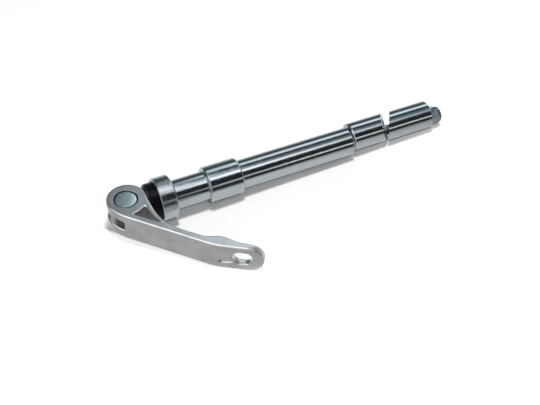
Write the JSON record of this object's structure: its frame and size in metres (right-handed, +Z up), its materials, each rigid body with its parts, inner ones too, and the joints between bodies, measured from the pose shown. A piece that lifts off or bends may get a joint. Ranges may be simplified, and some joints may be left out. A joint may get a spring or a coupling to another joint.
{
  "type": "quick release axle",
  "caption": "Stepped steel axle with a folding cam lever at one end, and loose angled wedges under a lock nut that jam it in its bore at the other.",
  "frame": {"origin": "on the axle's centre line, at the shoulder between the collar and the long shaft", "axes": "+X along the axle towards the lock nut, +Z up along the lever's pivot pin, the lever folds out towards -Y"},
  "size_m": [0.1477, 0.0543, 0.0178],
  "materials": {
    "zinc_steel": "bright zinc plate over a turned surface",
    "cup_steel": "bright zinc plate with fine turning marks",
    "black_plastic": "moulded, slightly glossy",
    "cast_aluminium": "tumbled satin casting",
    "pin_steel": "bluish bright zinc plate",
    "rod_steel": "bright zinc plate",
    "nut_steel": "bluish zinc plate",
    "nylon": "plain nylon"
  },
  "bodies": {
    "axle": {"axle_body": "zinc_steel"},
    "head": {"end_cup": "cup_steel", "cam_washer": "black_plastic"},
    "rod": {"draw_rod": "rod_steel", "pivot_pin": "pin_steel", "lock_nut": "nut_steel", "nut_ring": "nylon"},
    "lever": {"cam_lever": "cast_aluminium"},
    "inner": {"inner_wedge": "zinc_steel"},
    "outer": {"outer_wedge": "zinc_steel"}
  },
  "joints": [
    {"name": "head_swivel", "type": "hinge", "parent": "axle", "child": "head", "pos_m": [-0.03, 0, 0], "axis": [1, 0, 0], "continuous": true},
    {"name": "rod_pull", "type": "slide", "parent": "head", "child": "rod", "axis": [1, 0, 0], "range_m": [0, 0.00088]},
    {"name": "lever_fold", "type": "hinge", "parent": "rod", "child": "lever", "pos_m": [-0.0471, 0, 0], "axis": [0, 0, 1], "range_deg": [-160, 0]},
    {"name": "inner_slip", "type": "slide", "parent": "rod", "child": "inner", "axis": [0, -0.866, -0.5], "range_m": [0, 0.0014]},
    {"name": "outer_slip", "type": "slide", "parent": "rod", "child": "outer", "axis": [0, -0.8192, -0.5736], "range_m": [0, 0.0012]}
  ],
  "couplings": [
    {"joint": "rod_pull", "follows": "lever_fold", "m_per_rad": -0.0003126}
  ]
}
